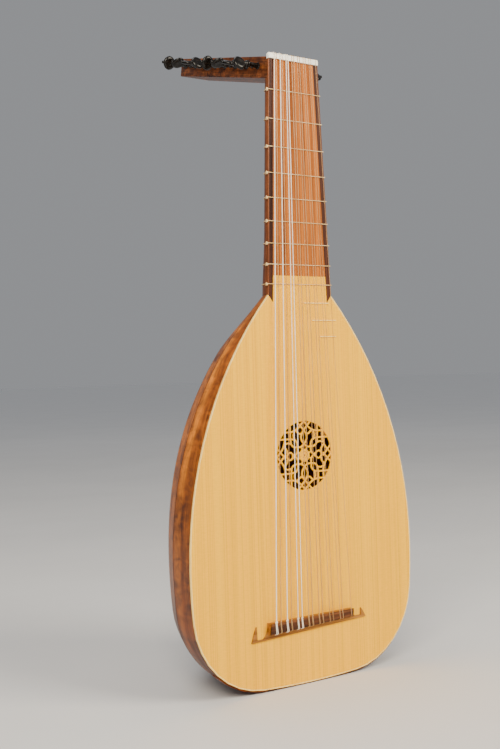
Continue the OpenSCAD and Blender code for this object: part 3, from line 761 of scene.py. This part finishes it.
def make_pegbox():
    """Plain cheeks, which the pegs fill where the CAD has their holes, with the back and its blocks."""
    side_view = [(BOARD_T, back_plane(BOARD_T)), (BOARD_T, 0), (NUT_BACK, 0),
                 (NUT_BACK, pegbox_top(NUT_BACK)), TIP_TOP, PEGBOX_TIP]
    for side, name in ((-1, "bass"), (1, "treble")):
        shape = Shape()
        prism(shape, side_view, lambda y, s: side * (pegbox_half(y) - (CHEEK_T if s else 0)))
        shape.build(f"cheek_{name}_wood", "pegbox_wood", nodes=[f"pegbox_cheek_{name}"],
                    slot="pegbox_wood", bevel=0.7)
    tip = pegbox_point(PEGBOX_LEN, FLOOR_T)

    def inside(y, s):
        return (pegbox_half(y) - CHEEK_T) * (1 if s else -1)

    def floor_at(y):
        return back_plane(y) + FLOOR_T / math.cos(TILT)

    start, root, tip_block = 24.0, 8.0, 7
    floor = Shape()
    prism(floor, [(start, back_plane(start)), (start, floor_at(start)), tip, PEGBOX_TIP], inside)
    floor.build("pegbox_back_board", "pegbox_wood", nodes=["pegbox_back"], slot="pegbox_wood", bevel=0.3)
    blocks = Shape()
    prism(blocks, [(BOARD_T, back_plane(BOARD_T)), (BOARD_T, 0), (NUT_BACK, 0),
                   (NUT_BACK, pegbox_top(NUT_BACK) - 0.8), (root, pegbox_top(root) - 1.2),
                   (root, floor_at(root)), (start, floor_at(start)), (start, back_plane(start))], inside)
    inner = pegbox_point(PEGBOX_LEN - tip_block, FLOOR_T)
    upper = pegbox_point(PEGBOX_LEN - tip_block, TIP_H)
    prism(blocks, [inner, upper, TIP_TOP, tip], inside)
    blocks.build("pegbox_end_blocks", "pegbox_wood", nodes=["pegbox_blocks"], slot="pegbox_wood", bevel=0.5)


def peg_side(k):
    return -1 if k % 2 else 1


def peg_yz(k):
    return pegbox_point(PEG_FIRST + (k - 1) * PEG_PITCH, PEG_UP)


def peg_radius(depth):
    return PEG_R - depth * PEG_TAPER


def peg_frame(k):
    """Maps a point of the peg's own frame, z along the shank from the cheek's outside, to the lute."""
    y, z = peg_yz(k)
    turn = Matrix.Rotation(rad(-peg_side(k) * 90), 4, "Y")
    return Matrix.Translation((peg_side(k) * pegbox_half(y), y, z)) @ turn


def lathe(shape, profile, sides, to):
    rings = [[to @ Vector((r * math.cos(2 * math.pi * i / sides), r * math.sin(2 * math.pi * i / sides), z))
              for i in range(sides)] for r, z in profile]
    shape.rings(rings)


def wind_depth(k):
    return pegbox_half(peg_yz(k)[0]) - peg_side(k) * string_peg_x(peg_string(k))


WIND_T = 0.8
HEAD_TURN, HEAD_OUT = 67, 24.2


def wind_radius(k):
    return peg_radius(wind_depth(k)) + WIND_T


def make_peg(k):
    """A turned shank and neck, a dished flat head with its pip, and the turns of string."""
    to = peg_frame(k)
    reach = 2 * pegbox_half(peg_yz(k)[0]) + 1.5
    shape = Shape()
    tip_r = peg_radius(reach)
    profile = [(tip_r * 0.45, reach), (tip_r * 0.8, reach - 0.25), (tip_r, reach - 0.9),
               (peg_radius(-0.6), -0.6)]
    profile += [(3.35, -1.1), (2.95, -2.2), (2.8, -6.0), (2.95, -10.0), (3.3, -12.2), (3.6, -13.0)]
    profile += [(4.15, -13.4), (4.3, -14.0), (4.15, -14.6), (3.5, -14.9), (3.5, -15.3), (3.95, -15.7)]
    profile += [(3.95, -16.3), (3.3, -16.8), (2.9, -17.6), (2.9, -19.5)]
    lathe(shape, profile, 32, to)
    half_thick, half_wide, half_long = 3.5, 8.2, 7.8
    head = Matrix.Rotation(rad(k * HEAD_TURN), 4, "Z") @ Matrix.Translation((0, 0, -HEAD_OUT))
    n_u, n_v = 40, 18
    rings = []
    for i in range(1, n_v):
        v = math.pi * i / n_v
        ring = []
        for j in range(n_u):
            u = 2 * math.pi * j / n_u
            y, x, z = math.sin(v) * math.cos(u), math.cos(v), math.sin(v) * math.sin(u)
            rho = min(1.0, math.hypot(y, z))
            dish = 1 - 0.42 * (1 - rho ** 2) ** 2
            waist = 1 - 0.10 * smooth((z + 0.2) / 1.2)
            ring.append(to @ head @ Vector((half_thick * x * dish, half_wide * y * waist, half_long * z)))
        rings.append(ring)
    shape.rings(rings)
    pip = [(0.6, -34.2), (1.3, -33.9), (1.75, -33.2), (1.75, -32.5), (1.2, -31.9), (1.5, -31.2)]
    lathe(shape, pip, 20, to)
    shape.build(f"peg_{k:02d}_turned", "peg_ebony", f"peg_{k:02d}", nodes=[f"peg_{k:02d}"],
                slot="peg_ebony", sharp=50)

    r = 0.38
    turns, steps = 6, 20
    depth = wind_depth(k)
    path = []
    for i in range(turns * steps + 1):
        a = 2 * math.pi * i / steps
        along = depth + (i / (turns * steps) - 0.5) * turns * 2 * r
        ring_r = peg_radius(along) + r * 0.9
        path.append(to @ Vector((ring_r * math.cos(a), ring_r * math.sin(a), along)))
    j = peg_string(k)
    Shape().tube(path, r, 8).build(f"peg_{k:02d}_turns", string_material(j), f"peg_{k:02d}",
                                  slot=string_material(j), sharp=60)


# ---------------------------------------------------------------- strings and bridge
STRING_R = [0.62, 0.36, 0.58, 0.34, 0.5, 0.5, 0.42, 0.42, 0.36, 0.36, 0.3, 0.3, 0.24, 0.24, 0.21]
BRIDGE_FRONT = STRING_LEN + 0.6
BRIDGE_HALF, FOOT_HALF = 57.0, 78.0
CAP_T, CAP_SLOPE = 1.6, math.tan(rad(10))


def string_course(j):
    return 7 if j == PEGS else (j - 1) // 2


def string_material(j):
    return "string_white" if string_course(j) <= 2 and j not in (2, 4) else "string_gut"


def string_offset(j, pair):
    return 0 if j == PEGS else (-pair / 2 if j % 2 else pair / 2)


def nut_x(j):
    return -25.5 + string_course(j) * 7.9 + string_offset(j, 2.8)


def bridge_x(j):
    return -48.2 + string_course(j) * 14.36 + string_offset(j, 6.2 - string_course(j) * 0.33)


def string_peg(j):
    return 2 * j - 1 if j <= 8 else 2 * (PEGS + 1 - j)


def peg_string(k):
    return (k + 1) // 2 if k % 2 else PEGS + 1 - k // 2


def string_peg_x(j):
    y = peg_yz(string_peg(j))[0]
    return 0.74 * nut_x(j) * (pegbox_half(y) - CHEEK_T) / (NUT_HALF - CHEEK_T)


def bridge_t(x):
    return (x + BRIDGE_HALF) / (2 * BRIDGE_HALF)


def bridge_h(x):
    return mix(8.6, 7.0, bridge_t(x))


def cap_depth(x):
    return mix(12.0, 8.5, bridge_t(x))


def cap_drop(x):
    return cap_depth(x) * CAP_SLOPE


def foot_depth(x):
    return mix(17.6, 13.0, bridge_t(x))


def make_string(shape, j):
    """One string from its knot on the bridge over the nut to its peg, with the loop over the cap."""
    r = STRING_R[j - 1]
    xb, xn, xp = bridge_x(j), nut_x(j), string_peg_x(j)
    h = bridge_h(xb)
    k = string_peg(j)
    y, z = peg_yz(k)
    front, tail = -BRIDGE_FRONT, -BRIDGE_FRONT - cap_depth(xb)
    lean = 2.2 + r
    knot = Vector((xb, -h - 0.3 - r * 0.5, front + 0.9 * r + 0.5))
    main = [knot + Vector((0, 0.0, -0.6)), knot, knot + Vector((0, 0, 2.2)),
            (xn, -NUT_FRONT - r * 0.3, 0), (xn, -NUT_FRONT - r * 0.2, NUT_TOP - 1.9),
            (xn, -1.25 - r * 0.3, NUT_TOP - 0.8), (xn, -0.5 - r * 0.2, NUT_TOP - 0.1 + r * 0.3),
            (xn, 0.6, NUT_TOP + r * 0.3), (xp, y - 1.0, z + wind_radius(k) + r * 0.9),
            (xp, y + 0.6, z + wind_radius(k) + r * 0.9)]
    shape.tube(main, r, 10)

    def over(x, t, lift):
        """A point on the cap, t of the way from the front to the tail side."""
        return Vector((x, -h + cap_drop(xb) * t - r - lift, front + (tail - front) * t))

    def strand(x0, x1, down):
        return [Vector((x0, -h + 0.5, front + r + 0.15)), over(x0, 0.02, 0.1),
                over(mix(x0, x1, 0.5), 0.5, 0.02), over(x1, 0.96, 0.05),
                Vector((x1, -h + cap_drop(xb) + 1.2, tail - r - 0.1)),
                Vector((x1 + 0.3, -h + cap_drop(xb) + down, tail - r - 0.5))]

    shape.tube(strand(xb + 0.3, xb + lean + 0.6 * r, 3.6), r * 0.9, 8)
    shape.tube(strand(xb - 0.9 * r, xb + lean - 2.2 * r, 2.4), r * 0.9, 8)
    wrap = []
    for i in range(25):
        a = 2 * math.pi * i / 12
        wrap.append(knot + Vector((1.6 * r * math.cos(a), 1.5 * r * math.sin(a), (i / 24 - 0.5) * 2.6 * r)))
    shape.tube(wrap, r * 0.8, 8)


def make_strings():
    for c in range(1, 9):
        strings = [PEGS] if c == 1 else [2 * (8 - c) + 1, 2 * (8 - c) + 2]
        for n, j in enumerate(strings):
            shape = Shape()
            make_string(shape, j)
            shape.build(f"string_{c}{'ab'[n]}", string_material(j), nodes=[f"course_{c}"] if n == 0 else (),
                        slot=string_material(j), sharp=60)


def make_bridge():
    def body(x):
        h, c, f = bridge_h(x), cap_depth(x), foot_depth(x)
        b = BRIDGE_FRONT
        return [(-0.05, -b), (-1.2, -b - 0.15), (CAP_T - h, -b - 0.1),
                (CAP_T + cap_drop(x) - h, -b - c + 0.1), (-3.4, -b - c + 0.5), (-2.5, -b - c - 0.1),
                (-1.75, -b - c - 1.6), (-1.35, -b - f + 1.0), (-0.05, -b - f + 0.6)]

    xs = [mix(-BRIDGE_HALF, BRIDGE_HALF, i / 24) for i in range(25)]
    rings = [[(x, y, z) for y, z in body(x)] for x in xs]
    shape = Shape().rings(rings, [[(p[2], p[1], p[0]) for p in ring] for ring in rings])

    def foot_end(side):
        """Half of the foot's outline: a round valley and then a whisker with its point."""
        x0, xe, valley = side * (BRIDGE_HALF + 0.1), side * FOOT_HALF, 2.4
        base = BRIDGE_FRONT + foot_depth(xe)
        rise = foot_depth(xe) - valley - 1.2
        pts = [(x0, BRIDGE_FRONT + 0.2)]
        pts += [(x0 + side * 7.6 * (1 - math.sin(rad(a))), base - valley - rise * (1 - math.cos(rad(a))))
                for a in range(85, -1, -6)]
        tip = xe - side * 6.6
        pts += [(tip - side * 0.6, base - valley), (tip - side * 0.15, BRIDGE_FRONT + 2.2),
                (tip + side * 0.1, BRIDGE_FRONT + 1.8)]
        pts += [(mix(tip + side * 0.5, xe, t / 8), mix(BRIDGE_FRONT + 2.6, base, (t / 8) ** 1.25))
                for t in range(1, 9)]
        return pts

    outline = foot_end(1) + foot_end(-1)[::-1]
    foot = [[(x, y, -d) for x, d in outline] for y in (-1.6, 0)]
    shape.rings(foot, [[(p[2], p[1], p[0]) for p in ring] for ring in foot])
    shape.build("bridge_body", "bridge_wood", nodes=["bridge"], slot="bridge_wood", sharp=30, bevel=0.25)

    cap = Shape()
    rings = []
    for x in xs:
        h, c = bridge_h(x), cap_depth(x)
        rings.append([(x, CAP_T - h, -BRIDGE_FRONT), (x, -h, -BRIDGE_FRONT),
                      (x, cap_drop(x) - h, -BRIDGE_FRONT - c),
                      (x, CAP_T + cap_drop(x) - h, -BRIDGE_FRONT - c)])
    cap.rings(rings, [[(p[2], p[1], p[0]) for p in ring] for ring in rings])
    cap.build("bridge_cap_wood", "cap_wood", nodes=["bridge_cap"], slot="dark_trim", sharp=30, bevel=0.3)


# ---------------------------------------------------------------- camera, floor and light
def make_camera():
    """The picture's viewpoint, fitted so that the lute lies where the picture shows it."""
    eye = (-752.5, -966.25, -335.3)
    yaw, pitch, roll = 0.6138, -0.0199, 0.0289
    fwd = Vector((math.sin(yaw) * math.cos(pitch), math.cos(yaw) * math.cos(pitch), -math.sin(pitch)))
    right = Vector((math.cos(yaw), -math.sin(yaw), 0))
    down = fwd.cross(right)
    x_axis = math.cos(roll) * right + math.sin(roll) * down
    y_axis = math.sin(roll) * right - math.cos(roll) * down
    data = bpy.data.cameras.new("camera")
    data.sensor_width = 36.0
    data.lens = 54.21
    data.shift_x = 0.0031
    data.shift_y = -0.0348
    data.clip_end = 50
    camera = bpy.data.objects.new("camera", data)
    basis = Matrix((x_axis, y_axis, -fwd)).transposed().to_4x4()
    camera.matrix_world = Matrix.Translation(place(eye)) @ basis
    bpy.context.scene.collection.objects.link(camera)
    bpy.context.scene.camera = camera


def make_light(name, at, aim, size, power, colour=(1, 1, 1)):
    data = bpy.data.lights.new(name, "AREA")
    data.shape = "RECTANGLE"
    data.size, data.size_y = size
    data.energy = power
    data.color = colour
    light = bpy.data.objects.new(name, data)
    light.location = at
    light.rotation_euler = (Vector(aim) - Vector(at)).to_track_quat("-Z", "Y").to_euler()
    bpy.context.scene.collection.objects.link(light)


def make_stage():
    low = min(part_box("end_clasp")[0].z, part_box("edge_binding")[0].z)
    mesh = bpy.data.meshes.new("floor")
    s = 30.0
    mesh.from_pydata([(-s, -s, low), (s, -s, low), (s, s, low), (-s, s, low)], [], [[0, 1, 2, 3]])
    floor = bpy.data.objects.new("floor", mesh)
    floor.data.materials.append(floor_material())
    bpy.context.scene.collection.objects.link(floor)
    world = bpy.data.worlds.new("studio")
    world.use_nodes = True
    world.node_tree.nodes["Background"].inputs["Color"].default_value = (0.86, 0.88, 0.92, 1)
    world.node_tree.nodes["Background"].inputs["Strength"].default_value = 0.34
    bpy.context.scene.world = world
    middle = (0, 0, -0.35)
    warm = (1.0, 0.90, 0.74)
    make_light("key", (0.9, -1.9, 0.9), middle, (1.2, 1.2), 64, warm)
    make_light("fill", (-1.6, -1.7, 1.0), middle, (1.3, 1.3), 82, warm)
    make_light("top", (-0.3, 0.6, 1.9), middle, (1.6, 1.2), 16)


def dress_cad():
    """Better materials on the CAD nodes that stay."""
    looks = {"edge_binding": "pale_binding", "end_clasp": "rib_maple_cad", "body_blocks": "inner_spruce",
             "soundboard_bars": "inner_spruce", "fingerboard": "fingerboard_wood",
             "fingerboard_edges": "dark_trim", "body_frets": "pale_binding"}
    for node, look in looks.items():
        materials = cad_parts[node].data.materials
        materials.clear()
        materials.append(M[look])


make_bowl()
make_soundboard()
make_rose()
make_neck()
make_nut()
make_frets()
make_pegbox()
for peg in range(1, PEGS + 1):
    make_peg(peg)
make_strings()
make_bridge()
dress_cad()
make_stage()
make_camera()
